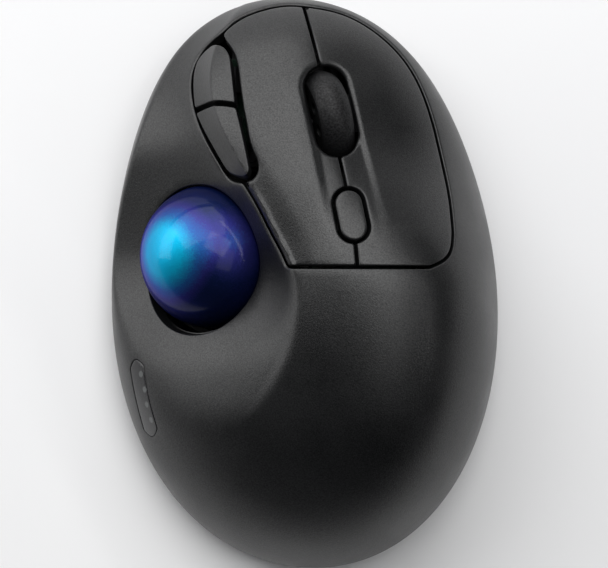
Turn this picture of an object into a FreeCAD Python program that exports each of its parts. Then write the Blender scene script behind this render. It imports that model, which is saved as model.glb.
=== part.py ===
import FreeCAD, Part
import math
import os

# Thumb-operated wireless trackball mouse, right handed.
# Frame: +X to the right, +Y to the front, +Z up, millimetres.  The origin is at the middle of
# the outline, on the desk.

Vec = FreeCAD.Vector
UP = Vec(0, 0, 1)

SIZES = {
    # outer form
    "half_length": 69.0, "half_width": 46.87, "wall": 2.0, "cover_edge": 2.6, "foot_height": 0.8,
    "floor_top": 2.4, "floor_inset": 0.9, "lip_inset": 3.2, "lip_wall": 1.5, "lip_top": 7.0,
    # gaps between the keys, buttons and cover
    "key_gap": 0.7, "dpi_gap": 0.8, "window_gap": 0.12,
    # ball and its cup
    "ball_radius": 17.0, "ball_x": -21.8, "ball_y": 6.6, "ball_z": 22.5, "opening_radius": 17.3,
    "cup_inner": 18.0, "cup_outer": 19.3, "cup_top": -0.2, "eject_radius": 6.0, "bearing_radius": 1.25,
    "cup_ear_z": 7.5, "cup_ear_thick": 1.5, "cup_ear_reach": 20.0, "cup_ear_radius": 3.0,
    # boards
    "board_thick": 1.6, "main_board_z": 7.0, "frame_z": 13.4, "frame_thick": 2.0, "switch_board_z": 16.4,
    # wheel
    "wheel_radius": 11.5, "wheel_width": 7.8, "hub_radius": 8.4, "hub_width": 7.0, "axle_radius": 1.1,
    "wheel_x": 5.1, "wheel_y": 38.6, "wheel_z": 28.0, "arm_inner": 4.3, "arm_thick": 1.5,
    "pivot_radius": 1.2, "pivot_clearance": 0.06,
    # wheel slot and speed button
    "slot_length": 21.8, "slot_width": 10.0, "dpi_length": 11.7, "dpi_width": 6.3,
    # switches
    "micro_length": 12.8, "micro_width": 5.8, "micro_height": 6.5, "tact_side": 6.0, "tact_height": 3.0,
    "plunger_radius": 0.9, "plunger_length": 2.8, "plunger_show": 0.8, "plunger_clearance": 0.06,
    # battery and door
    "battery_radius": 7.25, "battery_length": 50.5, "battery_x": 10.0, "battery_y": -31.4,
    "battery_z": 10.5, "bay_wall": 1.4, "door_gap": 0.3, "door_left": -17.4, "door_right": 18.4,
    "door_rear": -57.4, "door_front": -8.4,
    # fasteners
    "screw_head_radius": 2.0, "screw_head_height": 1.4, "screw_radius": 1.0, "boss_radius": 2.6,
    "case_boss_radius": 3.2,
    # feet
    "foot_radius": 5.5,
}

doc = FreeCAD.newDocument("TrackballMouse")
sheet = doc.addObject("Spreadsheet::Sheet", "Sizes")
for row, (alias, value) in enumerate(SIZES.items(), 1):
    sheet.set("A%d" % row, alias)
    sheet.set("B%d" % row, str(value))
    sheet.setAlias("B%d" % row, alias)
doc.recompute()


def size(alias):
    return float(sheet.get(alias))


# ---------------------------------------------------------------- outer form

def smooth(value):
    value = min(max(value, 0.0), 1.0)
    return value * value * (3.0 - 2.0 * value)


def ramp_curve(points):
    """A smooth function of y through (y, x) points."""
    curve = Part.BSplineCurve()
    curve.interpolate([Vec(y, x, 0) for y, x in points])

    def value(y):
        low, high = curve.FirstParameter, curve.LastParameter
        for _ in range(30):
            middle = (low + high) / 2
            if curve.value(middle).x < y:
                low = middle
            else:
                high = middle
        return curve.value(low).y
    return value


# crest line between the palm and the thumb rest, as x against y
CREST = ramp_curve([(-69, -38), (-42, -23), (-28, -12), (-14, -4.6), (0, -2.4), (12, -6.8),
                    (24, -12.6), (36, -18.8), (47, -21.7), (58, -20.0), (69, -15)])


def outline_x(s):
    return -0.05 - 1.8 * s - 0.85 * s ** 2 - 1.25 * s ** 3


def outline_width(s):
    return size("half_width") * (0.997 - 0.073 * s + 0.041 * s ** 2 + 0.068 * s ** 3 + 0.058 * s ** 4)


def palm(x, y, rise=None):
    """Height of the palm dome; rise is the unit dome's height, which goes negative under the rim."""
    s = y / size("half_length")
    q = (x - outline_x(s)) / outline_width(s)
    r2 = q * q + s * s
    if rise is None:
        rise = math.sqrt(max(1.0 - r2, 0.0))
    rim = 5.0 + 5.0 * smooth((s - 0.35) / 0.6)
    crown = 42.5 - 6.0 * s - 5.0 * s * s
    lean = 0.33 - 0.60 * smooth((s + 0.02) / 0.55)
    spine = 2.5 - 0.25 * (y - 40.0)
    shoulder = 1.6 * math.exp(-((x - spine) / 9.5) ** 2) * smooth((y - 8) / 18) * smooth((69 - y) / 14)
    return rim + crown * (1.0 + lean * q) * rise * (1.0 + 0.10 * r2) + shoulder * rise


def skin_height(x, y, rise=None):
    """The palm dome blended down into the hollow of the thumb rest."""
    crest_x = CREST(y)
    side = x - crest_x
    away = max(-side, 0.0)
    depth = 2.0 + 6.7 * smooth((y + 22) / 30)
    drop = depth * (1.0 - math.exp(-away / 6.0)) + 0.66 * away
    thumb = palm(crest_x, y) - drop + max(1.6 * side, 0.0) + 0.013 * max(-12 - y, 0.0) ** 2
    dome = palm(x, y, rise)
    blend = 1.5 + 5.0 * smooth((5 - y) / 40)
    share = min(max(0.5 + 0.5 * (thumb - dome) / blend, 0.0), 1.0)
    return thumb * (1 - share) + dome * share - blend * share * (1 - share)


PATCH_REACH = 1.13
PATCH_STATIONS = 57


def skin_point(u, v):
    """A disc-shaped net over the dome, running on a little below the rim."""
    a = PATCH_REACH * u * math.sqrt(1 - v * v / 2)
    b = PATCH_REACH * v * math.sqrt(1 - u * u / 2)
    r = math.hypot(a, b)
    angle = r * math.pi / 2
    spread = math.sin(angle) / r if r > 1e-9 else math.pi / 2
    rise = math.cos(angle)
    if rise < 0:
        rise *= 1 - 6 * rise
    y = size("half_length") * b * spread
    x = outline_x(b * spread) + outline_width(b * spread) * a * spread
    return Vec(x, y, skin_height(x, y, rise))


def skin_face(depth):
    """The outer skin, drawn in and lowered by a depth."""
    shrink_x = 1 - depth / size("half_width")
    shrink_y = 1 - depth / size("half_length")
    edge = 0.995
    rows = []
    for i in range(PATCH_STATIONS):
        u = -edge + 2 * edge * i / (PATCH_STATIONS - 1)
        row = []
        for j in range(PATCH_STATIONS):
            v = -edge + 2 * edge * j / (PATCH_STATIONS - 1)
            point = skin_point(u, v)
            row.append(Vec(point.x * shrink_x, point.y * shrink_y, point.z - depth))
        rows.append(row)
    surface = Part.BSplineSurface()
    surface.interpolate(rows)
    return surface.toShape()


def under_skin(depth, low):
    """Everything under a skin and above a height."""
    block = Part.makeBox(120, 160, 60, Vec(-60, -80, low))
    pieces = block.generalFuse([skin_face(depth)], 1e-4)[0].Solids
    return min(pieces, key=lambda piece: piece.Volume)


# ---------------------------------------------------------------- document helpers

def turned(origin, x_axis, z_axis):
    """A placement whose local X and Z lie along the given directions."""
    z_dir = Vec(*z_axis).normalize()
    y_dir = z_dir.cross(Vec(*x_axis)).normalize()
    x_dir = y_dir.cross(z_dir)
    return FreeCAD.Placement(Vec(*origin), FreeCAD.Rotation(x_dir, y_dir, z_dir, "ZXY"))


def add(kind, place, **expressions):
    item = doc.addObject(kind, kind.split("::")[1])
    for name, expression in expressions.items():
        item.setExpression(name, str(expression))
    item.Placement = place
    return item


def at(x, y, z, inside=None):
    place = FreeCAD.Placement(Vec(x, y, z), FreeCAD.Rotation())
    return inside.multiply(place) if inside else place


def cylinder(radius, height, x, y, z, inside=None, along=None):
    place = at(x, y, z, inside)
    if along:
        place = place.multiply(FreeCAD.Placement(Vec(), FreeCAD.Rotation(UP, Vec(*along))))
    return add("Part::Cylinder", place, Radius=radius, Height=height)


def box(length, width, height, x, y, z, inside=None):
    """A box given by its sizes and the middle of its bottom face."""
    item = add("Part::Box", at(x, y, z, inside), Length=length, Width=width, Height=height)
    doc.recompute([item])
    shift = FreeCAD.Placement(Vec(-item.Length.Value / 2, -item.Width.Value / 2, 0), FreeCAD.Rotation())
    item.Placement = item.Placement.multiply(shift)
    return item


def span_box(low, high):
    """A box between two opposite corners."""
    sides = [b - a for a, b in zip(low, high)]
    return add("Part::Box", at(*low), Length=sides[0], Width=sides[1], Height=sides[2])


def sphere(radius, centre):
    return add("Part::Sphere", at(*centre), Radius=radius)


def fuse(*items):
    whole = doc.addObject("Part::MultiFuse", "Fuse")
    whole.Shapes = list(items)
    return whole


def cut(base, *tools):
    result = doc.addObject("Part::Cut", "Cut")
    result.Base = base
    result.Tool = tools[0] if len(tools) == 1 else fuse(*tools)
    return result


def common(base, tool):
    result = doc.addObject("Part::Common", "Common")
    result.Base = base
    result.Tool = tool
    return result


def group(*items):
    whole = doc.addObject("Part::Compound", "Group")
    whole.Links = list(items)
    return whole


def free_form(name, shape):
    item = doc.addObject("Part::Feature", name)
    item.Shape = shape
    return item


def plate(name, corners, low, thickness, holes=()):
    """A flat plate padded from a closed sketch, with round holes given as (x, y, radius)."""
    body = doc.addObject("PartDesign::Body", name)
    sketch = body.newObject("Sketcher::SketchObject", name + "_outline")
    base = [item for item in body.Origin.OriginFeatures if item.Role == "XY_Plane"][0]
    sketch.AttachmentSupport = [(base, "")]
    sketch.MapMode = "FlatFace"
    sketch.AttachmentOffset = FreeCAD.Placement(Vec(0, 0, low), FreeCAD.Rotation())
    points = [Vec(x, y, 0) for x, y in corners]
    for first, second in zip(points, points[1:] + points[:1]):
        sketch.addGeometry(Part.LineSegment(first, second), False)
    for x, y, radius in holes:
        sketch.addGeometry(Part.Circle(Vec(x, y, 0), UP, radius), False)
    pad = body.newObject("PartDesign::Pad", name + "_pad")
    pad.Profile = sketch
    pad.setExpression("Length", thickness)
    body.Tip = pad
    return body


NODES = {}


def node(name, item):
    item.Label = name
    NODES[name] = item
    return item


# ---------------------------------------------------------------- plan outlines

def loop(*runs):
    """A closed plan outline: a two-point run is a line, a longer one a smooth curve."""
    edges = []
    for run in runs:
        points = [Vec(x, y, 0) for x, y in run]
        if len(points) == 2:
            edges.append(Part.makeLine(*points))
        else:
            curve = Part.BSplineCurve()
            curve.interpolate(points)
            edges.append(curve.toShape())
    return Part.Face(Part.Wire(edges))


def stadium(centre, length, width, heading):
    """A slot outline: its overall length lies along the heading."""
    along = Vec(*heading).normalize()
    across = Vec(along.y, -along.x, 0)
    middle = Vec(centre[0], centre[1], 0)
    reach = along * ((length - width) / 2)
    half = across * (width / 2)
    tip = along * (length / 2)
    a, b = middle + reach + half, middle + reach - half
    c, d = middle - reach - half, middle - reach + half
    front = Part.Arc(a, middle + tip, b).toShape()
    rear = Part.Arc(c, middle - tip, d).toShape()
    return Part.Face(Part.Wire([front, Part.makeLine(b, c), rear, Part.makeLine(d, a)]))


def grown(face, distance):
    """An outline moved outwards by a distance, with its curved runs redrawn as plain splines."""
    edges = []
    for edge in face.makeOffset2D(distance).OuterWire.OrderedEdges:
        if isinstance(edge.Curve, (Part.Line, Part.Circle)):
            edges.append(edge)
            continue
        curve = Part.BSplineCurve()
        curve.interpolate(edge.discretize(Number=max(5, int(edge.Length / 2.5))))
        edges.append(curve.toShape())
    return Part.Face(Part.Wire(edges))


def prism(face, grow=0.0, low=0.0, high=60.0):
    if grow:
        face = grown(face, grow)
    face.translate(Vec(0, 0, low))
    return face.extrude(Vec(0, 0, high - low))


def case_prism(inset, low, high):
    """The whole plan outline, set in and extruded."""
    points = []
    steps = 28
    for i in range(steps):
        angle = 2 * math.pi * i / steps
        s = math.sin(angle)
        half = outline_width(s) - inset
        points.append(Vec(outline_x(s) + half * math.cos(angle), (size("half_length") - inset) * s, 0))
    curve = Part.BSplineCurve()
    curve.interpolate(points, PeriodicFlag=True)
    return prism(Part.Face(Part.Wire(curve.toShape())), 0.0, low, high)


FRONT_EDGE = [(-19.8, 58.9), (-15.3, 62.7), (-10, 65.1), (-3.3, 66.4), (-0.12, 66.25)]
KEY_SPLIT = [(-0.12, 66.25), (3.7, 50.5), (8.25, 29.1), (11.7, 9.1), (12.1, 3.85)]
RIGHT_EDGE = [(-0.12, 66.25), (8.6, 64.7), (18.1, 59.4), (25.1, 51.8), (29.5, 42.2), (32.7, 29),
              (34.1, 20.6), (34.6, 12.1)]
RIGHT_CORNER = [(34.6, 12.1), (33.2, 6.6), (28.6, 3.85)]
CREST_SEAM = [(-3.9, 3.85), (-5.5, 7.3), (-7.8, 11.6), (-11, 17.9), (-14.3, 23.4)]
KEY_LEFT_EDGE = [(-14.3, 23.4), (-11.8, 24.6), (-11.0, 26.4), (-12.2, 30.9), (-13.5, 36.2), (-14.5, 41.5),
                 (-15.4, 47.5), (-16.3, 52.6), (-17.6, 55.6), (-19.8, 58.9)]
BUTTONS_OUTER = [(-14.3, 23.4), (-16.6, 24.0), (-19.4, 27.3), (-23.9, 35.8), (-26.3, 44.3), (-26.1, 50.6),
                 (-24.0, 55.0), (-19.8, 58.9)]

left_loop = loop(FRONT_EDGE, KEY_SPLIT, [(12.1, 3.85), (-3.9, 3.85)], CREST_SEAM, KEY_LEFT_EDGE)
right_loop = loop(RIGHT_EDGE, RIGHT_CORNER, [(28.6, 3.85), (12.1, 3.85)], KEY_SPLIT[::-1])
group_loop = loop(FRONT_EDGE, RIGHT_EDGE, RIGHT_CORNER, [(28.6, 3.85), (-3.9, 3.85)], CREST_SEAM,
                  BUTTONS_OUTER)
forward_loop = loop([(-25.65, 41.2), (-26.15, 47.6), (-24.9, 53.3), (-21.6, 56.4)],
                    [(-21.6, 56.4), (-18.8, 55.4), (-17.3, 52.9)],
                    [(-17.3, 52.9), (-16.5, 46.8), (-15.9, 41.8)],
                    [(-15.9, 41.8), (-21.3, 42.3), (-25.65, 41.2)])
back_loop = loop([(-15.7, 40.6), (-21.3, 41.1), (-25.35, 39.9)],
                 [(-25.35, 39.9), (-23.4, 35.8), (-19.2, 28.3), (-16.9, 25.4), (-15.3, 24.7)],
                 [(-15.3, 24.7), (-13.5, 24.7), (-12.5, 26.2)],
                 [(-12.5, 26.2), (-13.5, 31.4), (-15.7, 40.6)])
window_loop = loop([(-41.4, -20.1), (-40.1, -27.5), (-38.2, -35.0)],
                   [(-38.2, -35.0), (-36.15, -36.3), (-34.8, -34.2)],
                   [(-34.8, -34.2), (-36.8, -26.9), (-38.05, -19.3)],
                   [(-38.05, -19.3), (-40.05, -18.0), (-41.4, -20.1)])
slot_loop = stadium((6.35, 40.0), size("slot_length"), size("slot_width"), (-0.216, 0.976, 0))
DPI_SPOT = (10.8, 15.8)
dpi_loop = stadium(DPI_SPOT, size("dpi_length"), size("dpi_width"), (-0.19, 0.98, 0))


# ---------------------------------------------------------------- skins

outer = under_skin(0.0, size("cover_edge"))
core = under_skin(size("wall") / 2, size("cover_edge"))
inner = under_skin(size("wall"), size("cover_edge"))
shell = outer.cut(inner)


# ---------------------------------------------------------------- placements

BALL = (size("ball_x"), size("ball_y"), size("ball_z"))
BALL_TILT = (-0.598, -0.144, 0.788)
ball_frame = turned(BALL, (0.797, 0, 0.604), BALL_TILT)
sensor_frame = turned(BALL, (0.34, 0, 0.94), (0.94, 0, -0.34))
wheel_frame = turned((size("wheel_x"), size("wheel_y"), size("wheel_z")), (0.947, 0.210, -0.242),
                     (0.236, 0.052, 0.970))
side_frame = turned((-17.1, 41.0, 23.6), (0.866, 0, 0.5), (-0.5, 0, 0.866))
HINGE_Y = -3.3
LEFT_HINGE_Z = 43.6
RIGHT_HINGE_Z = 44.3
BOARD_TOP = size("switch_board_z") + size("board_thick")
CASE_BOSSES = [(-31.5, -24), (33, -20), (-31, 40), (38.5, 13)]
FRAME_BOSSES = [(5, 14), (21, 13.5), (20.5, 46), (-13, 31), (-13, 53)]
BOARD_PEGS = [(13, 3), (29, 3), (28, 31), (13, 31)]
EAR_ANGLES = [90, 210, 330]
LEFT_SWITCH = (-10.0, 40.0)
RIGHT_SWITCH = (18.3, 34.8)
PLUNGER_OFFSET = 2.5
FORWARD_OFFSET = 7.0
BACK_OFFSET = -4.8
POWER_SPOT = (27.0, 12.0)
PAIRING_SPOT = (27.0, 24.0)
POST_GAP = 0.15


def ear_spot(angle, reach):
    turn = math.radians(angle)
    return BALL[0] + reach * math.cos(turn), BALL[1] + reach * math.sin(turn)


def post(radius, x, y, low, inside=None, length=40.0):
    """A solid post from a height up into the middle of the skin."""
    column = Part.makeCylinder(radius, length)
    column.Placement = at(x, y, low, inside)
    return column.common(core)


def block(low, high):
    sides = [b - a for a, b in zip(low, high)]
    return Part.makeBox(*sides, Vec(*low))


# ---------------------------------------------------------------- top cover

RIB_THICK = 1.5
HINGE_PIN_RADIUS = 0.9
HINGE_HOLE_RADIUS = 0.96
LEFT_TONGUE = (0.5, 8.5)
RIGHT_TONGUE = (15.0, 23.0)
RIB_GAP = 0.6


def hinge_ribs(tongue, hinge_z):
    ribs = []
    for low in (tongue[0] - RIB_GAP - RIB_THICK, tongue[1] + RIB_GAP):
        rib = block((low, HINGE_Y - 1.8, hinge_z - 1.8), (low + RIB_THICK, HINGE_Y + 1.8, 60)).common(core)
        hole = Part.makeCylinder(HINGE_HOLE_RADIUS, 4, Vec(low - 1, HINGE_Y, hinge_z), Vec(1, 0, 0))
        ribs.append(rib.cut(hole))
    return ribs


def make_top_cover():
    cover = shell.cut(prism(group_loop, size("key_gap") / 2))
    opening = Part.makeCylinder(size("opening_radius"), 30)
    opening.Placement = ball_frame
    cover = cover.cut([opening, prism(window_loop)])
    bosses = []
    for x, y in CASE_BOSSES:
        column = post(size("case_boss_radius"), x, y, size("lip_top") + 0.2)
        hole = Part.makeCylinder(size("screw_radius"), 9, Vec(x, y, size("lip_top")))
        bosses.append(column.cut(hole))
    ribs = hinge_ribs(LEFT_TONGUE, LEFT_HINGE_Z) + hinge_ribs(RIGHT_TONGUE, RIGHT_HINGE_Z)
    return cover.fuse(bosses + ribs)


node("top_cover", free_form("TopCover", make_top_cover()))
node("status_window", free_form("StatusWindow", shell.common(prism(window_loop, -size("window_gap")))))


# ---------------------------------------------------------------- keys and buttons

def key_plate(outline, grow):
    return shell.common(prism(outline, grow))


def make_key(outline, tongue, hinge_z, switch):
    plate_shape = key_plate(outline, -size("key_gap") / 2)
    plate_shape = plate_shape.cut([prism(slot_loop), prism(dpi_loop, size("dpi_gap"))])
    arm = block((tongue[0], HINGE_Y - 1.2, hinge_z - 0.7), (tongue[1], 9, hinge_z + 0.7))
    riser = block((tongue[0], 5, hinge_z - 0.7), (tongue[1], 8.5, 60)).common(core)
    pin_low = tongue[0] - RIB_GAP - RIB_THICK
    pin_length = tongue[1] - tongue[0] + 2 * (RIB_GAP + RIB_THICK)
    pin = Part.makeCylinder(HINGE_PIN_RADIUS, pin_length, Vec(pin_low, HINGE_Y, hinge_z), Vec(1, 0, 0))
    low = BOARD_TOP + size("micro_height") + size("plunger_show") + POST_GAP
    column = post(1.5, switch[0], switch[1] + PLUNGER_OFFSET, low)
    return plate_shape.fuse([arm, riser, pin, column])


node("left_key", free_form("LeftKey", make_key(left_loop, LEFT_TONGUE, LEFT_HINGE_Z, LEFT_SWITCH)))
node("right_key", free_form("RightKey", make_key(right_loop, RIGHT_TONGUE, RIGHT_HINGE_Z, RIGHT_SWITCH)))

TACT_REACH = size("tact_height") + size("plunger_show") + POST_GAP
forward_post = post(1.4, 0, FORWARD_OFFSET, TACT_REACH, side_frame)
back_post = post(1.4, 0, BACK_OFFSET, TACT_REACH, side_frame)
dpi_post = post(1.8, DPI_SPOT[0], DPI_SPOT[1], BOARD_TOP + TACT_REACH)
node("forward_button", free_form("ForwardButton", key_plate(forward_loop, 0).fuse(forward_post)))
node("back_button", free_form("BackButton", key_plate(back_loop, 0).fuse(back_post)))
node("dpi_button", free_form("SpeedButton", key_plate(dpi_loop, 0).fuse(dpi_post)))


# ---------------------------------------------------------------- ball, cup and bearings

BEARING_LEAN = 65
BEARING_TURNS = [90, 210, 330]
BEARING_CLEARANCE = 0.05
BEARING_BOSS = 2.0
SENSOR_WINDOW = 2.6


def bearing_centres():
    reach = size("ball_radius") + size("bearing_radius") + BEARING_CLEARANCE
    lean = math.radians(BEARING_LEAN)
    centres = []
    for turn in BEARING_TURNS:
        a = math.radians(turn)
        local = Vec(math.sin(lean) * math.cos(a), math.sin(lean) * math.sin(a), -math.cos(lean)) * reach
        centres.append(ball_frame.multVec(local))
    return centres


node("trackball", sphere("Sizes.ball_radius", BALL))
node("bearing_balls", group(*[sphere("Sizes.bearing_radius", spot) for spot in bearing_centres()]))


def make_cup():
    solids = [sphere("Sizes.cup_outer", BALL)]
    solids += [sphere(BEARING_BOSS, spot) for spot in bearing_centres()]
    ear_z = size("cup_ear_z")
    solids.append(cylinder(16.5, "Sizes.cup_ear_thick", BALL[0], BALL[1], ear_z))
    holes = [sphere("Sizes.cup_inner", BALL)]
    for angle in EAR_ANGLES:
        x, y = ear_spot(angle, size("cup_ear_reach"))
        solids.append(cylinder("Sizes.cup_ear_radius", "Sizes.cup_ear_thick", x, y, ear_z))
        turn = math.radians(angle)
        arm_frame = turned((BALL[0], BALL[1], ear_z), (math.cos(turn), math.sin(turn), 0), (0, 0, 1))
        solids.append(box(6, "2 * Sizes.cup_ear_radius", "Sizes.cup_ear_thick", 17, 0, 0, arm_frame))
        holes.append(cylinder("Sizes.screw_radius", 4, x, y, ear_z - 1))
    for side in (-1, 1):
        solids.append(cylinder(1.2, 5.5, 4.4 * side, 5.9 * side, 17.3, sensor_frame))
    holes.append(box(60, 60, 30, 0, 0, size("cup_top"), ball_frame))
    holes.append(cylinder("Sizes.eject_radius - 0.8", 20, BALL[0], BALL[1], -2))
    holes.append(cylinder(SENSOR_WINDOW, 6, 0, 0, 16, sensor_frame))
    holes += [sphere("Sizes.bearing_radius", spot) for spot in bearing_centres()]
    return cut(fuse(*solids), *holes)


node("ball_cup", make_cup())


def screw(x, y, head_low, shank_length, downward=True):
    head_radius, head_height, radius = "Sizes.screw_head_radius", "Sizes.screw_head_height", "Sizes.screw_radius"
    head = cylinder(head_radius, head_height, x, y, head_low)
    shank_low = head_low - shank_length if downward else head_low + size("screw_head_height")
    shank = cylinder(radius, shank_length, x, y, shank_low)
    socket_low = head_low + size("screw_head_height") - 0.7 if downward else head_low
    slots = [box(2.0, 0.5, 0.7, x, y, socket_low), box(0.5, 2.0, 0.7, x, y, socket_low)]
    return cut(fuse(head, shank), *slots)


CUP_SCREW_Z = size("cup_ear_z") + size("cup_ear_thick")
ears = [ear_spot(angle, size("cup_ear_reach")) for angle in EAR_ANGLES]
node("cup_screws", group(*[screw(x, y, CUP_SCREW_Z, 5) for x, y in ears]))

SENSOR_BOARD = 22.8
node("sensor_lens", cylinder(2.45, 2.4, 0, 0, 18.15, sensor_frame))
node("sensor_chip", box(9.0, 9.0, 2.2, 0, 0, 20.6, sensor_frame))
node("sensor_board", box(12, 14, 1.2, 0, 0, SENSOR_BOARD, sensor_frame))


# ---------------------------------------------------------------- boards and frame

board_corners = [(2.5, 11), (23, 11), (23, 45.5), (16, 55.3), (-15.2, 55.3), (-15.2, 28), (-6, 28), (-6, 50),
                 (15.5, 50), (15.5, 21), (2.5, 21)]
frame_corners = [(2, 10), (24, 10), (24, 46), (17.5, 57), (-17.2, 57), (-17.2, 27), (-3, 27), (-3, 20), (2, 20)]
SCREW_HOLE = size("screw_radius")
frame_holes = [(x, y, SCREW_HOLE) for x, y in FRAME_BOSSES]
node("switch_board", plate("SwitchBoard", board_corners, size("switch_board_z"), "Sizes.board_thick",
                           frame_holes))

HEADER_SPOT = (19.25, 25.0)
PIVOT_Y = -15.0
PIVOT_Z = -4.5
TOWER_LOWS = {-1: -16.0, 1: -13.0}


def make_frame():
    base = plate("FramePlate", frame_corners, size("frame_z"), "Sizes.frame_thick", frame_holes)
    solids = [base]
    spacer_low = size("frame_z") + size("frame_thick")
    spacer_high = size("switch_board_z")
    for x, y in FRAME_BOSSES:
        ring = cylinder(2.4, spacer_high - spacer_low, x, y, spacer_low)
        solids.append(cut(ring, cylinder("Sizes.screw_radius", 3, x, y, spacer_low - 1)))
    for side, low in TOWER_LOWS.items():
        tower = box(2.2, 5.2, PIVOT_Z + 3 - low, 7.6 * side, PIVOT_Y, low, wheel_frame)
        bore = "Sizes.pivot_radius + Sizes.pivot_clearance"
        hole = cylinder(bore, 5, 7.6 * side - 2.5, PIVOT_Y, PIVOT_Z, wheel_frame, (1, 0, 0))
        solids.append(cut(tower, hole))
    solids.append(span_box((-17.2, 39, spacer_low - 0.5), (-15.5, 43, 22.1)))
    window = box(3.6, 13.6, 6, HEADER_SPOT[0], HEADER_SPOT[1], size("frame_z") - 1)
    return cut(fuse(*solids), window)


node("inner_frame", make_frame())
node("frame_screws", group(*[screw(x, y, BOARD_TOP, 10) for x, y in FRAME_BOSSES]))
node("side_board", box(8, 24, 1.2, 0, 0, -1.2, side_frame))

main_corners = [(9, -1.8), (32, -1.8), (32, 30), (26.5, 36), (9, 36)]
main_holes = [(x, y, SCREW_HOLE) for x, y in BOARD_PEGS] + [(21, 13.5, 3.0)]
node("main_board", plate("MainBoard", main_corners, size("main_board_z"), "Sizes.board_thick", main_holes))
MAIN_TOP = size("main_board_z") + size("board_thick")
node("board_screws", group(*[screw(x, y, MAIN_TOP, 4.5) for x, y in BOARD_PEGS]))
board_parts = [box(6, 6, 0.9, 24, 21, MAIN_TOP), box(3.2, 2.5, 0.8, 24, 27, MAIN_TOP),
               box(8, 12, 2.0, 13.4, 22, MAIN_TOP)]
board_parts += [box(1.6, 0.8, 0.7, 14 + 3 * i, 8, MAIN_TOP) for i in range(5)]
node("board_parts", group(*board_parts))
header_height = size("switch_board_z") - MAIN_TOP
node("board_header", box(2.5, 12, header_height, HEADER_SPOT[0], HEADER_SPOT[1], MAIN_TOP))


# ---------------------------------------------------------------- switches

def switch(name, length, width, height, x, y, z, inside=None, plunger_y=0.0):
    """A switch housing with a bored well, and the plunger that stands out of it."""
    well_depth = size("plunger_length") - size("plunger_show") + 0.7
    well_low = z + size(height.split(".")[1]) - well_depth
    housing = box(width, length, height, x, y, z, inside)
    bore = cylinder("Sizes.plunger_radius + Sizes.plunger_clearance", well_depth + 1,
                    x, y + plunger_y, well_low, inside)
    node(name + "_switch", cut(housing, bore))
    node(name + "_plunger", cylinder("Sizes.plunger_radius", "Sizes.plunger_length",
                                     x, y + plunger_y, well_low + 0.7, inside))


MICRO = ("Sizes.micro_length", "Sizes.micro_width", "Sizes.micro_height")
TACT = ("Sizes.tact_side", "Sizes.tact_side", "Sizes.tact_height")
MIDDLE_SPOT = (1.5, 53.0)
switch("left", *MICRO, *LEFT_SWITCH, BOARD_TOP, None, PLUNGER_OFFSET)
switch("right", *MICRO, *RIGHT_SWITCH, BOARD_TOP, None, PLUNGER_OFFSET)
switch("middle", *TACT, *MIDDLE_SPOT, BOARD_TOP)
switch("dpi", *TACT, *DPI_SPOT, BOARD_TOP)
switch("forward", *TACT, 0, FORWARD_OFFSET, 0, side_frame)
switch("back", *TACT, 0, BACK_OFFSET, 0, side_frame)


# ---------------------------------------------------------------- scroll wheel

HALF_WHEEL = size("wheel_width") / 2


def wheel_cylinder(radius, length, middle=0.0):
    half = length / 2 if isinstance(length, (int, float)) else size(length.split(".")[1]) / 2
    return cylinder(radius, length, middle - half, 0, 0, wheel_frame, (1, 0, 0))


def make_tyre():
    """A soft ring with a rounded tread."""
    half, radius, shoulder = HALF_WHEEL, size("wheel_radius"), 2.2
    low = size("hub_radius")
    tread = Part.Arc(Vec(-half, 0, radius - shoulder), Vec(0, 0, radius), Vec(half, 0, radius - shoulder))
    outline = [Part.makeLine(Vec(-half, 0, low), Vec(-half, 0, radius - shoulder)), tread.toShape(),
               Part.makeLine(Vec(half, 0, radius - shoulder), Vec(half, 0, low)),
               Part.makeLine(Vec(half, 0, low), Vec(-half, 0, low))]
    ring = Part.Face(Part.Wire(outline)).revolve(Vec(), Vec(1, 0, 0), 360)
    item = free_form("Tyre", ring)
    item.Placement = wheel_frame
    return item


def make_hub():
    disc = wheel_cylinder("Sizes.hub_radius", "Sizes.hub_width")
    holes = [wheel_cylinder("Sizes.axle_radius", 12)]
    for i in range(6):
        turn = math.radians(60 * i)
        y, z = 5.2 * math.cos(turn), 5.2 * math.sin(turn)
        holes.append(cylinder(1.5, 12, -6, y, z, wheel_frame, (1, 0, 0)))
    return cut(disc, *holes)


AXLE_LENGTH = 16.0
AXLE_MIDDLE = 1.5
ARM_OUTER = size("arm_inner") + size("arm_thick")


def make_cradle():
    arm_middle = (size("arm_inner") + ARM_OUTER) / 2
    solids = []
    for side in (-1, 1):
        solids.append(box("Sizes.arm_thick", 29.5, 3.6, arm_middle * side, -1.75, -5.5, wheel_frame))
    solids.append(box(2 * ARM_OUTER, 3.5, 3.5, 0, -14.75, -5.5, wheel_frame))
    solids.append(box(2 * ARM_OUTER, 2.6, 2.4, 0, 14.0, -4.9, wheel_frame))
    solids.append(cylinder("Sizes.pivot_radius", 17.2, -8.6, PIVOT_Y, PIVOT_Z, wheel_frame, (1, 0, 0)))
    hub_collars = box(2 * ARM_OUTER, 5, 5, 0, 0, -2.2, wheel_frame)
    gap = box("2 * Sizes.arm_inner", 26, 12, 0, 0, -7, wheel_frame)
    body = cut(fuse(*solids, hub_collars), gap)
    bore = cylinder("Sizes.axle_radius + 0.06", 20, -10, 0, 0, wheel_frame, (1, 0, 0))
    nub = cylinder(1.3, 2.2, MIDDLE_SPOT[0], MIDDLE_SPOT[1], BOARD_TOP + TACT_REACH)
    return cut(fuse(body, nub), bore)


def make_encoder():
    case = box(4.0, 9.0, 7.5, ARM_OUTER + 2.0, 0, -5.5, wheel_frame)
    bore = cylinder("Sizes.axle_radius + 0.06", 20, 0, 0, 0, wheel_frame, (1, 0, 0))
    return cut(case, bore)


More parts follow.
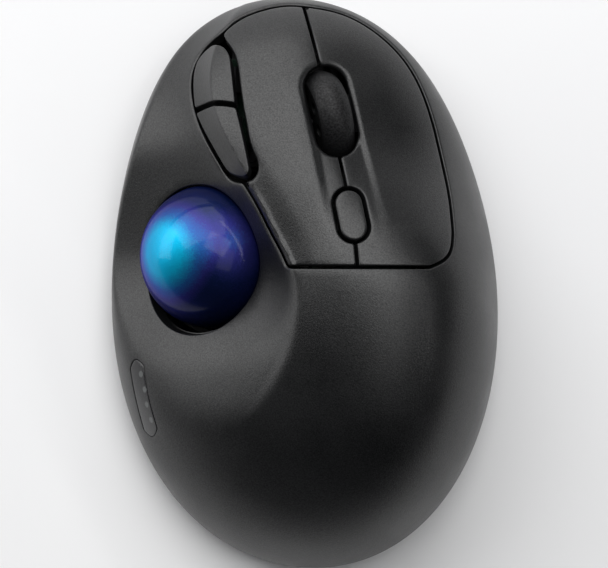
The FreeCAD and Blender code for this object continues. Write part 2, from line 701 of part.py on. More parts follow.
node("wheel_tyre", make_tyre())
node("wheel_hub", make_hub())
node("wheel_axle", wheel_cylinder("Sizes.axle_radius", AXLE_LENGTH, AXLE_MIDDLE))
node("wheel_cradle", make_cradle())
node("wheel_encoder", make_encoder())


# ---------------------------------------------------------------- bottom case

BAY_TOP = 19.4
BAY_HALF = size("battery_radius") + 0.5
BAY_REAR = -57.9
BAY_FRONT = -5.6
RECEIVER_BAY = ((-16.0, -44.8), (-0.8, -25.4))
RECEIVER_TOP = 8.8
BARREL_RADIUS = 1.1
BARREL_Y = -9.6
BARREL_Z = 1.9
LUG_THICK = 1.8
SLIDER_HALF = (1.7, 2.4)
SLIDER_TRAVEL = 3.5


def door_swing():
    """The room that the battery door needs in the floor and under the bay walls."""
    gap = size("door_gap")
    low = (size("door_left") - gap, size("door_rear") - gap, 0)
    opening = block(low, (size("door_right") + gap, BARREL_Y, 2.75))
    start = Vec(size("door_left") - gap, BARREL_Y, BARREL_Z)
    length = size("door_right") - size("door_left") + 2 * gap
    groove = Part.makeCylinder(BARREL_RADIUS + gap, length, start, Vec(1, 0, 0))
    mouth_front = BARREL_Y + BARREL_RADIUS + gap
    mouth = block((low[0], BARREL_Y, 0), (size("door_right") + gap, mouth_front, BARREL_Z))
    return opening.fuse([groove, mouth])


def make_bottom():
    floor_low, floor_top, lip_top = size("foot_height"), size("floor_top"), size("lip_top")
    base = case_prism(size("floor_inset"), floor_low, floor_top)
    lip = case_prism(size("lip_inset"), floor_top - 0.2, lip_top)
    lip = lip.cut(case_prism(size("lip_inset") + size("lip_wall"), floor_top, lip_top + 1))
    solids = [lip]
    bay_x, wall = size("battery_x"), size("bay_wall")
    solids.append(block((bay_x - BAY_HALF - wall, BAY_REAR - wall, floor_low),
                        (bay_x + BAY_HALF + wall, BAY_FRONT + wall, BAY_TOP)))
    (left, rear), (right, front) = RECEIVER_BAY
    shared = bay_x - BAY_HALF - wall / 2
    solids.append(block((left - wall, rear - wall, floor_low), (shared, front + wall, RECEIVER_TOP + 1.2)))
    bosses = [(x, y, size("case_boss_radius"), lip_top) for x, y in CASE_BOSSES]
    bosses += [(x, y, size("boss_radius"), size("frame_z")) for x, y in FRAME_BOSSES]
    bosses += [(x, y, 2.2, size("main_board_z")) for x, y in BOARD_PEGS]
    bosses += [(x, y, size("boss_radius"), size("cup_ear_z")) for x, y in ears]
    solids += [Part.makeCylinder(radius, top - floor_low, Vec(x, y, floor_low)) for x, y, radius, top in bosses]
    solids.append(block((-38.4, -29, floor_low), (-35.6, -26.5, 9.0)))
    base = base.fuse(solids)
    holes = [block((bay_x - BAY_HALF, BAY_REAR, floor_top), (bay_x + BAY_HALF, BAY_FRONT, BAY_TOP - wall)),
             block((left, rear, floor_top), (right, front, RECEIVER_TOP)), door_swing()]
    depth = {"frame": 7.0, "peg": 4.6, "ear": 4.2}
    drills = [(x, y, size("frame_z"), depth["frame"]) for x, y in FRAME_BOSSES]
    drills += [(x, y, size("main_board_z"), depth["peg"]) for x, y in BOARD_PEGS]
    drills += [(x, y, size("cup_ear_z"), depth["ear"]) for x, y in ears]
    for x, y, top, deep in drills:
        holes.append(Part.makeCylinder(SCREW_HOLE, deep, Vec(x, y, top - deep)))
    for x, y in CASE_BOSSES:
        holes.append(Part.makeCylinder(SCREW_HOLE, 12, Vec(x, y, 0)))
        holes.append(Part.makeCylinder(size("screw_head_radius") + 0.2, 2.4, Vec(x, y, 0)))
    holes.append(Part.makeCylinder(size("eject_radius"), 4, Vec(BALL[0], BALL[1], 0)))
    slot_face = stadium((POWER_SPOT[0], POWER_SPOT[1]), 8.8, 3.8, (0, 1, 0))
    holes.append(prism(slot_face, 0.0, 0.0, 2.4))
    holes.append(Part.makeCylinder(2.15, 3, Vec(PAIRING_SPOT[0], PAIRING_SPOT[1], 0)))
    base = base.cut(holes)
    lugs = []
    for low in (size("door_left") - size("door_gap") - LUG_THICK, size("door_right") + size("door_gap")):
        lug = block((low, BARREL_Y - 2, floor_top - 0.2), (low + LUG_THICK, BARREL_Y + 2, 4.0))
        lugs.append(lug)
    base = base.fuse(lugs)
    pin_length = size("door_right") - size("door_left") + 2 * (size("door_gap") + 1.0)
    pin_low = size("door_left") - size("door_gap") - 1.0
    return base.cut(Part.makeCylinder(0.66, pin_length, Vec(pin_low, BARREL_Y, BARREL_Z), Vec(1, 0, 0)))


def make_door():
    door_low, door_top = size("foot_height") + 0.1, size("floor_top")
    left, right = size("door_left"), size("door_right")
    panel = block((left, size("door_rear"), door_low), (right, BARREL_Y, door_top))
    barrel = Part.makeCylinder(BARREL_RADIUS, right - left, Vec(left, BARREL_Y, BARREL_Z), Vec(1, 0, 0))
    reach = size("door_gap") + 0.9
    pin = Part.makeCylinder(0.6, right - left + 2 * reach, Vec(left - reach, BARREL_Y, BARREL_Z), Vec(1, 0, 0))
    notch = Part.makeCylinder(6.0, 3, Vec(2.4, size("door_rear") - 4.6, 0))
    grips = [block((-4, -46 + 3 * i, door_low), (9, -45 + 3 * i, door_low + 0.4)) for i in range(3)]
    return panel.fuse([barrel, pin]).cut([notch] + grips)


node("bottom_case", free_form("BottomCase", make_bottom()))
node("battery_door", free_form("BatteryDoor", make_door()))
node("case_screws", group(*[screw(x, y, 0.9, 11, False) for x, y in CASE_BOSSES]))
FEET = [(-26, -38), (28.5, -36), (-14, 55), (12, 56), (-34, 21)]
node("feet", group(*[cylinder("Sizes.foot_radius", "Sizes.foot_height", x, y, 0) for x, y in FEET]))
node("rating_label", span_box((-14, 30, 0.65), (10, 45, size("foot_height"))))


# ---------------------------------------------------------------- battery and receiver

battery_rear = size("battery_y") - size("battery_length") / 2
NUB = 1.0
cell = cylinder("Sizes.battery_radius", size("battery_length") - NUB, size("battery_x"), battery_rear,
                size("battery_z"), None, (0, 1, 0))
button = cylinder(2.75, NUB + 0.5, size("battery_x"), battery_rear + size("battery_length") - NUB - 0.5,
                  size("battery_z"), None, (0, 1, 0))
node("battery", fuse(cell, button))
node("battery_contact", span_box((5.5, -6.1, 6), (14.5, BAY_FRONT, 15)))
rings = []
for i in range(3):
    place = FreeCAD.Placement(Vec(size("battery_x"), BAY_REAR + 0.25 + 0.35 * i, size("battery_z")),
                              FreeCAD.Rotation(Vec(1, 0, 0), 90))
    rings.append(add("Part::Torus", place, Radius1=3.6 - 0.3 * i, Radius2=0.22))
node("battery_spring", fuse(*rings))
node("receiver_body", span_box((-15.7, -44.4, 2.9), (-1.2, -38.8, 8.4)))
node("receiver_plug", span_box((-14.4, -38.8, 3.4), (-2.5, -26.0, 7.9)))


# ---------------------------------------------------------------- underside controls

slider_low = size("foot_height") + 0.5
knob_face = stadium((POWER_SPOT[0], POWER_SPOT[1] - SLIDER_TRAVEL / 2), 2 * SLIDER_HALF[1], 2 * SLIDER_HALF[0],
                    (0, 1, 0))
ridge_y = POWER_SPOT[1] - SLIDER_TRAVEL / 2
knob = prism(knob_face, 0.0, slider_low, 3.1)
grooves = [block((20, ridge_y - 1.1 + 0.9 * i, slider_low - 0.5), (34, ridge_y - 0.7 + 0.9 * i, slider_low + 0.3))
           for i in range(3)]
node("power_slider", free_form("PowerSlider", knob.cut(grooves)))
node("power_switch", box(3.8, 8.6, size("main_board_z") - 3.2, POWER_SPOT[0], POWER_SPOT[1], 3.2))
button_low = size("foot_height") + 0.3
pairing = fuse(cylinder(2.0, 3.4 - button_low, PAIRING_SPOT[0], PAIRING_SPOT[1], button_low),
               cylinder(2.8, 0.8, PAIRING_SPOT[0], PAIRING_SPOT[1], 2.6))
node("pairing_button", pairing)
node("pairing_switch", box(6, 6, size("main_board_z") - 3.9, PAIRING_SPOT[0], PAIRING_SPOT[1], 3.9))


# ---------------------------------------------------------------- status lights

strip_frame = turned((-36.7, -27.2, 9.0), (0.978, 0.21, 0), (0, 0, 1))
node("indicator_board", box(3.8, 17, 1.0, 0, 0, 0, strip_frame))
led_spots = [-5.4, -1.8, 1.8, 5.4]
node("status_leds", group(*[box(1.6, 0.9, 0.6, 0, y, 1.0, strip_frame) for y in led_spots]))
guide = inner.common(prism(window_loop, -0.4, 10.8, 60))
node("light_guide", free_form("LightGuide", guide))


# ---------------------------------------------------------------- check and export

doc.recompute()
for item in doc.Objects:
    if "Invalid" in item.State or "Error" in item.State:
        raise RuntimeError("failed object: " + item.Label)
os.makedirs("parts", exist_ok=True)
for name, item in NODES.items():
    shape = item.Shape
    if shape.isNull() or not shape.isValid() or not shape.Solids:
        raise RuntimeError("bad shape: " + name)
for name, item in NODES.items():
    item.Shape.exportStep("parts/%s.step" % name)
    print("%-18s %9.1f mm3  %d solids" % (name, item.Shape.Volume, len(item.Shape.Solids)))
print(len(NODES), "nodes")
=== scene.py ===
import math

import bmesh
import bpy
import numpy as np
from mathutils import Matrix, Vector
from mathutils.geometry import delaunay_2d_cdt


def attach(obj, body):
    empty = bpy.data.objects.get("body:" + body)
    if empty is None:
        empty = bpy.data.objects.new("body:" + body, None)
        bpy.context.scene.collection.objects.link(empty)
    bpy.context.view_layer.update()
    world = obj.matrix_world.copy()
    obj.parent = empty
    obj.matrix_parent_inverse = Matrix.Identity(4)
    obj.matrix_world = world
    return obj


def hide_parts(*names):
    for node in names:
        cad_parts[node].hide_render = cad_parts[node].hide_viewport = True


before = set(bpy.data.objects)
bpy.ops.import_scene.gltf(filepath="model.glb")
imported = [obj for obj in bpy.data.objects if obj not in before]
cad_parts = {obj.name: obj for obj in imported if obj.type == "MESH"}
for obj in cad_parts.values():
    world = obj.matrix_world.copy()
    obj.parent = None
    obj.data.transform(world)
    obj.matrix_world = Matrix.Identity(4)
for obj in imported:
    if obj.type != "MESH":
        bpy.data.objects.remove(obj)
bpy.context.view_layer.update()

MM = 0.001

# ---------------------------------------------------------------- outer form, in millimetres

HALF_LENGTH = 69.0
HALF_WIDTH = 46.87
WALL = 2.0
COVER_EDGE = 2.6
CREST_BLEND = 1.5
BALL = np.array((-21.8, 6.6, 22.5))
BALL_RADIUS = 17.0
OPENING_RADIUS = 17.25


def unit(vector):
    vector = np.asarray(vector, float)
    return vector / np.linalg.norm(vector)


BALL_UP = unit((-0.598, -0.144, 0.788))
BALL_FRONT = unit(np.cross(BALL_UP, (0.797, 0, 0.604)))
BALL_SIDE = np.cross(BALL_FRONT, BALL_UP)


def smooth(value):
    value = np.clip(value, 0.0, 1.0)
    return value * value * (3.0 - 2.0 * value)


def cubic_through(knots):
    """A smooth function through (t, value) knots: a natural cubic spline."""
    t = np.array([k[0] for k in knots], float)
    v = np.array([k[1] for k in knots], float)
    gaps = np.diff(t)
    count = len(t)
    matrix = np.eye(count)
    right = np.zeros(count)
    for i in range(1, count - 1):
        matrix[i, i - 1:i + 2] = gaps[i - 1], 2 * (gaps[i - 1] + gaps[i]), gaps[i]
        right[i] = 6 * ((v[i + 1] - v[i]) / gaps[i] - (v[i] - v[i - 1]) / gaps[i - 1])
    bend = np.linalg.solve(matrix, right)

    def value(x):
        x = np.asarray(x, float)
        i = np.clip(np.searchsorted(t, x) - 1, 0, count - 2)
        a, b, g = t[i + 1] - x, x - t[i], gaps[i]
        curve = (bend[i] * a ** 3 + bend[i + 1] * b ** 3) / (6 * g)
        return curve + (v[i] / g - bend[i] * g / 6) * a + (v[i + 1] / g - bend[i + 1] * g / 6) * b
    return value


crest_x = cubic_through([(-69, -38), (-42, -23), (-28, -12), (-14, -4.6), (0, -2.4), (12, -6.8),
                         (24, -12.6), (36, -18.8), (47, -21.7), (58, -20.0), (69, -15)])


def outline_x(s):
    """The middle of the outline at a share of the half length; the nose leans to the left."""
    return -0.05 - 1.8 * s - 0.85 * s ** 2 - 1.25 * s ** 3


def outline_width(s):
    """The half width that the outline's ellipse has at a share of the half length."""
    return HALF_WIDTH * (0.997 - 0.073 * s + 0.041 * s ** 2 + 0.068 * s ** 3 + 0.058 * s ** 4)


def palm(x, y, rise=None):
    """The dome: a rim height, a crown over it that leans sideways, and a low shoulder between the keys.

    rise is the dome's share of its height, worked out from the outline unless it is given.
    """
    s = y / HALF_LENGTH
    q = (x - outline_x(s)) / outline_width(s)
    r2 = q * q + s * s
    if rise is None:
        rise = np.sqrt(np.clip(1.0 - r2, 0.0, None))
    rim = 5.0 + 5.0 * smooth((s - 0.35) / 0.6)
    crown = 42.5 - 6.0 * s - 5.0 * s * s
    lean = 0.33 - 0.60 * smooth((s + 0.02) / 0.55)
    spine = 2.5 - 0.25 * (y - 40.0)
    shoulder = 1.6 * np.exp(-((x - spine) / 9.5) ** 2) * smooth((y - 8) / 18) * smooth((69 - y) / 14)
    return rim + crown * (1.0 + lean * q) * rise * (1.0 + 0.10 * r2) + shoulder * rise


def skin_height(x, y, rise=None, crest=CREST_BLEND):
    """The palm dome blended down into the hollow of the thumb rest, over crest millimetres or more."""
    ridge = crest_x(y)
    side = x - ridge
    away = np.clip(-side, 0.0, None)
    depth = 2.0 + 6.7 * smooth((y + 22) / 30)
    drop = depth * (1.0 - np.exp(-away / 6.0)) + 0.66 * away
    climb = 1.6 + 2.0 * smooth((y - 56) / 9)
    heel = 0.013 * np.clip(-12 - y, 0.0, None) ** 2
    thumb = palm(ridge, y) - drop + np.clip(climb * side, 0.0, None) + heel
    dome = palm(x, y, rise)
    blend = crest + 5.0 * smooth((5 - y) / 40) + 3.0 * smooth((y - 55) / 11)
    share = np.clip(0.5 + 0.5 * (thumb - dome) / blend, 0.0, 1.0)
    return thumb * (1 - share) + dome * share - blend * share * (1 - share)


def skin_point(a, b):
    """The disc (a, b) laid over the dome: radius 1 is the rim, more runs on underneath."""
    r = np.hypot(a, b)
    angle = r * math.pi / 2
    spread = np.where(r > 1e-9, np.sin(angle) / np.maximum(r, 1e-9), math.pi / 2)
    rise = np.cos(angle)
    rise = np.where(rise < 0, rise * (1 - 6 * rise), rise)
    s = b * spread
    y = HALF_LENGTH * s
    x = outline_x(s) + outline_width(s) * a * spread
    return np.stack([x, y, skin_height(x, y, rise)], -1)


def disc_of(x, y):
    """Where a plan point lies on the disc."""
    s = y / HALF_LENGTH
    q = (x - outline_x(s)) / outline_width(s)
    rho = np.clip(np.hypot(q, s), 1e-9, 0.99999)
    scale = np.arcsin(rho) * 2 / math.pi / rho
    return q * scale, s * scale


# ---------------------------------------------------------------- plan outlines

OUTLINE_SPACING = 0.45
BUTTON_SPACING = 0.35


def smooth_run(points, spacing):
    """Evenly spaced points along a line (two points) or a smooth curve (more)."""
    points = np.array(points, float)
    lengths = np.r_[0, np.cumsum(np.hypot(*np.diff(points, axis=0).T))]
    count = max(2, int(round(lengths[-1] / spacing)) + 1)
    if len(points) == 2:
        return points[0] + np.linspace(0, 1, count)[:, None] * (points[1] - points[0])
    along = np.linspace(0, lengths[-1], count)
    axes = [cubic_through(list(zip(lengths, points[:, i])))(along) for i in (0, 1)]
    return np.stack(axes, -1)


def trimmed(run, start, end):
    """The run without its first and last stretches."""
    lengths = np.r_[0, np.cumsum(np.hypot(*np.diff(run, axis=0).T))]
    keep = (lengths > start) & (lengths < lengths[-1] - end)
    ends = [np.array([np.interp(t, lengths, run[:, i]) for i in (0, 1)]) for t in (start, lengths[-1] - end)]
    return np.vstack([ends[0], run[keep], ends[1]])


def closed(runs, corners, spacing=OUTLINE_SPACING):
    """A closed outline of runs, its corners rounded off; corners[i] is where run i begins."""
    sampled = [smooth_run(run, spacing) for run in runs]
    outline = []
    count = len(sampled)
    for i, run in enumerate(sampled):
        following = corners[(i + 1) % count]
        outline.append(trimmed(run, corners[i], following))
        corner = run[-1]
        start = outline[-1][-1]
        after = trimmed(sampled[(i + 1) % count], following, 0)[0]
        steps = max(2, int(following * 1.8 / spacing))
        for t in np.linspace(0, 1, steps + 1)[1:-1]:
            outline.append((((1 - t) ** 2) * start + 2 * t * (1 - t) * corner + t * t * after)[None])
    points = np.vstack(outline)
    apart = np.hypot(*(points - np.roll(points, 1, axis=0)).T) > spacing * 0.2
    points = points[apart]
    area = np.sum(points[:, 0] * np.roll(points[:, 1], -1) - points[:, 1] * np.roll(points[:, 0], -1))
    return points if area > 0 else points[::-1]


def stadium(centre, length, width, heading, spacing=OUTLINE_SPACING):
    """A closed outline with two straight sides and two half round ends."""
    along = unit(heading)
    across = np.array((along[1], -along[0]))
    half = width / 2
    reach = (length - width) / 2
    steps = max(8, int(math.pi * half / spacing))
    points = []
    for sign in (1, -1):
        for t in np.linspace(-math.pi / 2, math.pi / 2, steps):
            points.append(sign * (along * (reach + half * math.cos(t)) - across * half * math.sin(t)))
    ring = np.array(points) + centre
    sides = list(zip(ring, np.roll(ring, -1, axis=0)))
    return closed(sides, [0.0] * len(sides), spacing)


def grow(outline, distance):
    """A counter-clockwise outline moved outwards, or inwards if the distance is negative."""
    ahead = np.roll(outline, -1, axis=0) - outline
    ahead /= np.linalg.norm(ahead, axis=1, keepdims=True)
    behind = np.roll(ahead, 1, axis=0)
    out = np.stack([ahead[:, 1] + behind[:, 1], -ahead[:, 0] - behind[:, 0]], -1)
    length = np.linalg.norm(out, axis=1, keepdims=True)
    return outline + out / np.maximum(length, 0.4) * distance * np.minimum(2 / np.maximum(length, 0.4), 1.6)


def inside(points, outline):
    """Which points lie inside a closed outline."""
    x, y = points[:, 0][:, None], points[:, 1][:, None]
    x0, y0 = outline[:, 0][None], outline[:, 1][None]
    x1, y1 = np.roll(outline[:, 0], -1)[None], np.roll(outline[:, 1], -1)[None]
    crosses = (y0 > y) != (y1 > y)
    slope = (x1 - x0) / np.where(np.abs(y1 - y0) < 1e-12, 1e-12, y1 - y0)
    return (crosses & (x < x0 + slope * (y - y0))).sum(axis=1) % 2 == 1


FRONT_EDGE = [(-19.8, 58.9), (-15.3, 62.7), (-10, 65.1), (-3.3, 66.4), (-0.12, 66.25)]
KEY_SPLIT = [(-0.12, 66.25), (3.7, 50.5), (8.25, 29.1), (11.7, 9.1), (12.1, 3.85)]
RIGHT_EDGE = [(-0.12, 66.25), (8.6, 64.7), (18.1, 59.4), (25.1, 51.8), (29.5, 42.2), (32.7, 29),
              (34.1, 20.6), (34.6, 12.1)]
RIGHT_CORNER = [(34.6, 12.1), (33.2, 6.6), (28.6, 3.85)]
CREST_SEAM = [(-3.9, 3.85), (-5.5, 7.3), (-7.8, 11.6), (-11, 17.9), (-14.3, 23.4)]
KEY_LEFT_EDGE = [(-14.3, 23.4), (-11.8, 24.6), (-11.0, 26.4), (-12.2, 30.9), (-13.5, 36.2), (-14.5, 41.5),
                 (-15.4, 47.5), (-16.3, 52.6), (-17.6, 55.6), (-19.8, 58.9)]
BUTTONS_OUTER = [(-14.3, 23.4), (-16.6, 24.0), (-19.4, 27.3), (-23.9, 35.8), (-26.3, 44.3), (-26.1, 50.6),
                 (-24.0, 55.0), (-19.8, 58.9)]
KEY_GAP = 0.7
DPI_GAP = 0.8
WINDOW_GAP = 0.12

left_outline = closed([FRONT_EDGE, KEY_SPLIT, [(12.1, 3.85), (-3.9, 3.85)], CREST_SEAM, KEY_LEFT_EDGE],
                      [0.9, 0.6, 0.5, 0.7, 0.9])
right_outline = closed([RIGHT_EDGE, RIGHT_CORNER, [(28.6, 3.85), (12.1, 3.85)], KEY_SPLIT[::-1]],
                       [0.6, 0.2, 0.2, 0.5])
group_outline = closed([FRONT_EDGE, RIGHT_EDGE, RIGHT_CORNER, [(28.6, 3.85), (-3.9, 3.85)], CREST_SEAM,
                        BUTTONS_OUTER], [1.2, 0.2, 0.2, 0.2, 0.7, 0.6])
forward_outline = closed([[(-25.65, 41.2), (-26.15, 47.6), (-24.9, 53.3), (-21.6, 56.4)],
                          [(-21.6, 56.4), (-18.8, 55.4), (-17.3, 52.9)],
                          [(-17.3, 52.9), (-16.5, 46.8), (-15.9, 41.8)],
                          [(-15.9, 41.8), (-21.3, 42.3), (-25.65, 41.2)]],
                         [0.6, 0.8, 0.5, 0.6], BUTTON_SPACING)
back_outline = closed([[(-15.7, 40.6), (-21.3, 41.1), (-25.35, 39.9)],
                       [(-25.35, 39.9), (-23.4, 35.8), (-19.2, 28.3), (-16.9, 25.4), (-15.3, 24.7)],
                       [(-15.3, 24.7), (-13.5, 24.7), (-12.5, 26.2)],
                       [(-12.5, 26.2), (-13.5, 31.4), (-15.7, 40.6)]],
                      [0.6, 0.6, 0.8, 0.5], BUTTON_SPACING)
window_outline = closed([[(-41.4, -20.1), (-40.1, -27.5), (-38.2, -35.0)],
                         [(-38.2, -35.0), (-36.15, -36.3), (-34.8, -34.2)],
                         [(-34.8, -34.2), (-36.8, -26.9), (-38.05, -19.3)],
                         [(-38.05, -19.3), (-40.05, -18.0), (-41.4, -20.1)]],
                        [0.4] * 4, BUTTON_SPACING)
SEAM_RUN = smooth_run(CREST_SEAM, 0.4)

SLOT_CENTRE = np.array((6.35, 40.0))
SLOT_HEADING = unit((-0.216, 0.976))
SLOT_LENGTH, SLOT_WIDTH = 21.8, 10.0
SLOT_STRAIGHT = (SLOT_LENGTH - SLOT_WIDTH) / 2
slot_outline = stadium(SLOT_CENTRE, SLOT_LENGTH, SLOT_WIDTH, SLOT_HEADING)
DPI_CENTRE = np.array((10.8, 15.8))
DPI_HEADING = unit((-0.19, 0.98))
DPI_LENGTH, DPI_WIDTH = 11.7, 6.3
dpi_outline = stadium(DPI_CENTRE, DPI_LENGTH, DPI_WIDTH, DPI_HEADING)
dpi_hole = stadium(DPI_CENTRE, DPI_LENGTH + 2 * DPI_GAP, DPI_WIDTH + 2 * DPI_GAP, DPI_HEADING)


def ball_hole(radius, count=150):
    """Where a cylinder about the ball's tilted axis meets the skin, seen in plan."""
    points = []
    for i in range(count):
        turn = 2 * math.pi * i / count
        foot = BALL + radius * (BALL_SIDE * math.cos(turn) + BALL_FRONT * math.sin(turn))
        low, high = -12.0, 25.0
        for _ in range(30):
            middle = (low + high) / 2
            spot = foot + BALL_UP * middle
            if spot[2] < skin_height(spot[0], spot[1]):
                low = middle
            else:
                high = middle
        points.append((foot + BALL_UP * low)[:2])
    return np.array(points)


# ---------------------------------------------------------------- surfaces

CHANNEL_DEPTH = 0.9
CHANNEL_HALF_WIDTH = 4.6
CHANNEL_SHOULDER = 1.9
ROLL_DEPTH = 0.55
FACET_BLEND = 0.3


def slot_frame(x, y):
    """Distances along the wheel slot, forwards, and across it, to the right."""
    dx, dy = x - SLOT_CENTRE[0], y - SLOT_CENTRE[1]
    return dx * SLOT_HEADING[0] + dy * SLOT_HEADING[1], dx * SLOT_HEADING[1] - dy * SLOT_HEADING[0]


def run_distance(x, y, run):
    """How far plan places are from a run of points."""
    gaps = np.stack([np.hypot(x - px, y - py) for px, py in run])
    return gaps.min(axis=0)


def key_surface(a, b):
    """The skin with the shallow channel of the wheel and small button, and the rolled left edge."""
    point = skin_point(a, b)
    along, across = slot_frame(point[..., 0], point[..., 1])
    away = np.hypot(np.maximum(along - SLOT_STRAIGHT, 0), across)
    behind = np.clip(-8.0 - along, 0.0, None)
    trough = 1 - smooth((away - CHANNEL_HALF_WIDTH) / (CHANNEL_SHOULDER + 0.06 * behind))
    point[..., 2] -= CHANNEL_DEPTH * trough * smooth((along + 34.0) / 26.0)
    seam = run_distance(point[..., 0], point[..., 1], SEAM_RUN)
    roll = smooth((seam - 1.2) / 1.1) * (1 - smooth((seam - 2.3) / 5.0))
    point[..., 2] -= ROLL_DEPTH * roll
    return point


def facet_surface(a, b):
    """The skin with its crest left sharp, as the two facets of the side buttons have it."""
    point = skin_point(a, b)
    point[..., 2] = skin_height(point[..., 0], point[..., 1], None, FACET_BLEND)
    return point


def surface_normal(surface, points):
    step = 1e-3
    a, b = points[:, 0], points[:, 1]
    along_a = surface(a + step, b) - surface(a - step, b)
    along_b = surface(a, b + step) - surface(a, b - step)
    normal = np.cross(along_a, along_b)
    return normal / np.linalg.norm(normal, axis=1, keepdims=True)


# ---------------------------------------------------------------- skin pieces

ROUNDING_STEPS = 4
NET_REACH = 1.08
SHARP_ANGLE = math.radians(35)
DISC_SCALE = np.array((HALF_WIDTH, HALF_LENGTH)) * math.pi / 2
DRAWN_IN = np.array((1 - WALL / HALF_WIDTH, 1 - WALL / HALF_LENGTH, 1))


def edge_levels():
    """(inset, drop) shares of the radius round a quarter circle, from the wall to the flat."""
    angles = np.linspace(0, math.pi / 2, ROUNDING_STEPS + 1)
    return [(1 - math.cos(t), 1 - math.sin(t)) for t in angles]


def hex_points(spacing):
    """Evenly spread disc coordinates; spacing is in millimetres over the skin."""
    step_a, step_b = spacing / DISC_SCALE * (1, math.sqrt(3) / 2)
    rows = int(NET_REACH / step_b)
    columns = int(NET_REACH / step_a)
    i, j = np.meshgrid(np.arange(-columns, columns + 1), np.arange(-rows, rows + 1))
    a = (i + 0.5 * (j % 2)) * step_a
    return np.stack([a.ravel(), (j * step_b).ravel()], -1)


def far_from(points, rings, distance):
    """Which disc points keep their distance, in millimetres, from every ring point."""
    cells = {}
    for p in np.vstack(rings) * DISC_SCALE:
        cells.setdefault((int(p[0] // distance), int(p[1] // distance)), []).append(p)
    keep = np.ones(len(points), bool)
    for n, p in enumerate(points * DISC_SCALE):
        column, row = int(p[0] // distance), int(p[1] // distance)
        for i in (column - 1, column, column + 1):
            for j in (row - 1, row, row + 1):
                for q in cells.get((i, j), ()):
                    if (p[0] - q[0]) ** 2 + (p[1] - q[1]) ** 2 < distance * distance:
                        keep[n] = False
    return keep


def under_skin(points):
    """Skin points drawn in and lowered, as the inside of the shell is."""
    return points * DRAWN_IN - (0, 0, WALL)


def straight_under(points):
    """The places on the inside of the shell that lie plumb under skin points."""
    x, y = points[:, 0], points[:, 1]
    height = skin_height(x / DRAWN_IN[0], y / DRAWN_IN[1]) - WALL
    return np.stack([x, y, height], -1)


def plan_rings(outline, radius, sign):
    """Disc rings and drops for an edge rounded over a plan outline.

    The radius is one number or one for each point; sign 1 shrinks the rings, -1 grows them.
    """
    radius = np.broadcast_to(np.asarray(radius, float), len(outline))
    rings = []
    for inset, drop in edge_levels():
        plan = grow(outline, -sign * radius[:, None] * inset) if inset else outline
        rings.append((np.stack(disc_of(plan[:, 0], plan[:, 1]), -1), radius * drop))
    return rings


def bite(outline, hole):
    """The outline with what the hole covers cut away."""
    covered = inside(outline, hole)
    first = int(np.argmax(covered & ~np.roll(covered, -1))) + 1
    order = np.roll(np.arange(len(outline)), -first)
    kept = outline[order][~covered[order]]
    within = inside(hole, outline)
    last = int(np.argmax(within & ~np.roll(within, -1))) + 1
    order = np.roll(np.arange(len(hole)), -last)
    edge = hole[order][within[order]][::-1]
    return np.vstack([kept, edge])


def near_outline(points, outline, distance):
    """Which plan points lie within a distance of an outline's points."""
    gaps = np.linalg.norm(points[:, None, :] - outline[None, :, :], axis=2)
    return gaps.min(axis=1) < distance


def net_inside(innermost, spacing, fine):
    """Points of the net between the innermost rings, closer together where fine asks for it."""
    nets = [(hex_points(spacing), spacing)]
    if fine:
        close_spacing, close_test = fine
        wide, close = nets[0][0], hex_points(close_spacing)
        nets = [(wide[~close_test(wide)], spacing), (close[close_test(close)], close_spacing)]
    chosen = []
    for net, gap in nets:
        net = net[inside(net, innermost[0])]
        for ring in innermost[1:]:
            net = net[~inside(net, ring)]
        chosen.append(net[far_from(net, innermost, gap * 0.62)])
    if fine:
        chosen[0] = chosen[0][far_from(chosen[0], [chosen[1]], spacing * 0.6)]
    return chosen


def triangulated(points, edges, outer, holes):
    """Triangles over disc points that keep the edges, inside the outer ring and outside the holes."""
    flat = [Vector(p) for p in points * DISC_SCALE]
    _, _, faces, origins, _, _ = delaunay_2d_cdt(flat, edges, [], 0, 1e-5)
    index = [o[0] if o else -1 for o in origins]
    triangles = np.array([[index[i] for i in face] for face in faces if len(face) == 3])
    triangles = triangles[(triangles >= 0).all(axis=1)]
    middles = points[triangles].mean(axis=1)
    keep = inside(middles, outer)
    for hole in holes:
        keep &= ~inside(middles, hole)
    return triangles[keep]


